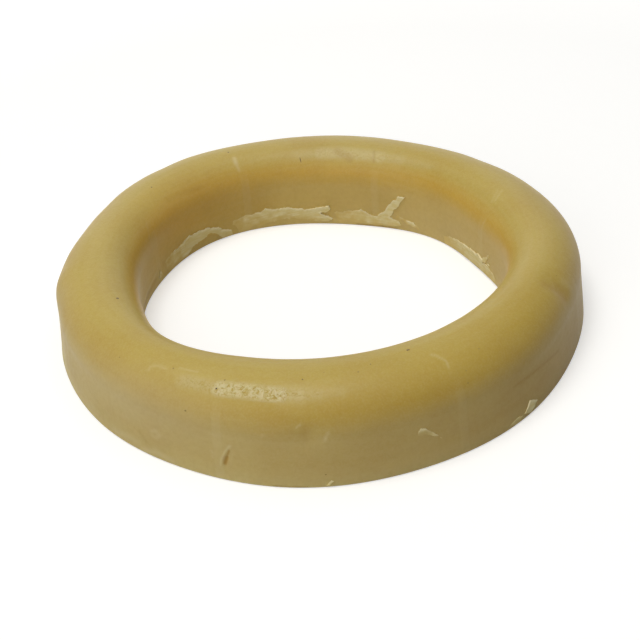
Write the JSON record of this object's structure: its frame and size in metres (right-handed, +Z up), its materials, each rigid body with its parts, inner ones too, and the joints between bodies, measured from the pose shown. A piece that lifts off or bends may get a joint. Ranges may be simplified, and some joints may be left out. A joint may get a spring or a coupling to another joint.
{
  "type": "toilet wax ring",
  "caption": "Moulded ring of soft wax with a flat base and a domed crown, which seals a toilet's outlet to the drain flange below it.",
  "frame": {"origin": "centre of the bore on the flat base plane", "axes": "+Z up out of the domed crown along the bore's axis, and -Y towards the side that the picture shows nearest"},
  "size_m": [0.1394, 0.1406, 0.023],
  "materials": {
    "wax": "satin"
  },
  "bodies": {
    "root": {"wax_ring": "wax"}
  },
  "joints": []
}
